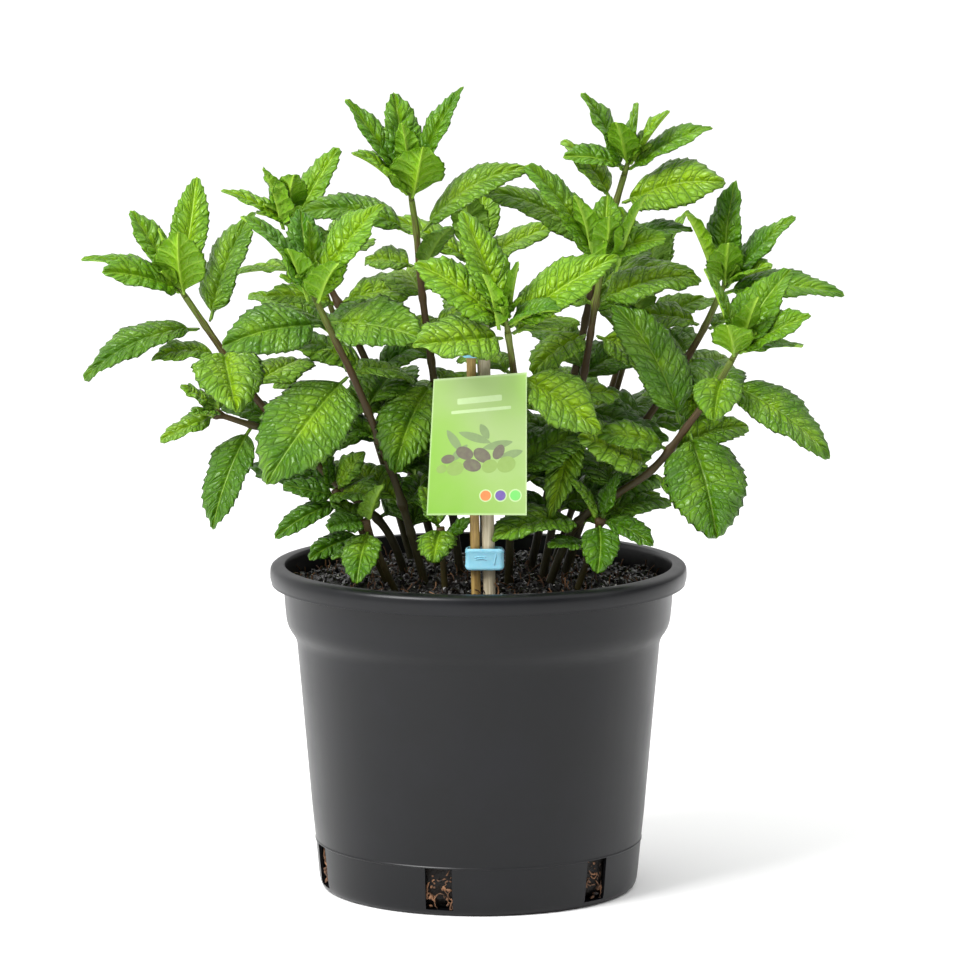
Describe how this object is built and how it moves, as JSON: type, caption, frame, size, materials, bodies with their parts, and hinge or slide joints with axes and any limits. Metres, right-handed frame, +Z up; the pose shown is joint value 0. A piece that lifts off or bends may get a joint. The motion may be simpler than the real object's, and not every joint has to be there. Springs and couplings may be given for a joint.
{
  "type": "potted mint plant",
  "caption": "Bushy leafy herb with square stems and toothed quilted leaves, growing in a tapered black nursery pot with a rolled rim, two canes, blue clips and a hanging label.",
  "frame": {"origin": "centre of the pot's underside, on the surface that it stands on", "axes": "+Z up along the pot's axis, -Y towards the front where the label hangs, +X to the right seen from the front"},
  "size_m": [0.344, 0.2109, 0.367],
  "materials": {
    "pot_plastic": "moulded black recycled polypropylene, satin",
    "potting_mix": "moist peat and bark crumb with white grit",
    "split_cane": "golden brown split cane, matte",
    "stout_cane": "weathered grey-beige bamboo cane, matte",
    "clip_plastic": "pale blue moulded plastic, satin",
    "label_card": "printed plastic label film, satin; the lettering is left off",
    "mint_stem": "living stem, brown over green",
    "young_leaf": "young mint leaf, light yellow-green",
    "mint_leaf": "mature mint leaf, deep green, quilted"
  },
  "bodies": {
    "root": {"cane_slim": "split_cane", "cane_stout": "stout_cane", "clip_lower": "clip_plastic", "clip_upper": "clip_plastic", "crown_back_left": "young_leaf", "crown_centre": "young_leaf", "crown_front_left": "young_leaf", "crown_front_right": "young_leaf", "crown_left": "young_leaf", "crown_mid_right": "young_leaf", "crown_right": "young_leaf", "crown_tall_left": "young_leaf", "crown_tall_right": "young_leaf", "label": "label_card", "leaves_back_left_1": "mint_leaf", "leaves_centre_1": "mint_leaf", "leaves_centre_2": "mint_leaf", "leaves_front_left_1": "mint_leaf", "leaves_front_left_2": "mint_leaf", "leaves_front_left_3": "mint_leaf", "leaves_front_right_1": "mint_leaf", "leaves_front_right_2": "mint_leaf", "leaves_front_right_3": "mint_leaf", "leaves_left_1": "mint_leaf", "leaves_left_2": "mint_leaf", "leaves_mid_right_1": "mint_leaf", "leaves_mid_right_2": "mint_leaf", "leaves_right_1": "mint_leaf", "leaves_right_2": "mint_leaf", "leaves_right_3": "mint_leaf", "leaves_tall_left_1": "mint_leaf", "leaves_tall_left_2": "mint_leaf", "leaves_tall_left_3": "mint_leaf", "leaves_tall_right_1": "mint_leaf", "leaves_tall_right_2": "mint_leaf", "leaves_tall_right_3": "mint_leaf", "pot": "pot_plastic", "potting_mix": "potting_mix", "shoot_back": "mint_leaf", "shoot_back_left": "mint_leaf", "shoot_back_right": "mint_leaf", "shoot_inner_right": "mint_leaf", "sprig_far_left": "mint_leaf", "sprig_front": "mint_leaf", "sprig_front_left": "mint_leaf", "sprig_front_right": "mint_leaf", "sprig_low_left": "mint_leaf", "stem_back_left": "mint_stem", "stem_centre": "mint_stem", "stem_front_left": "mint_stem", "stem_front_right": "mint_stem", "stem_left": "mint_stem", "stem_mid_right": "mint_stem", "stem_right": "mint_stem", "stem_tall_left": "mint_stem", "stem_tall_right": "mint_stem"}
  },
  "joints": []
}
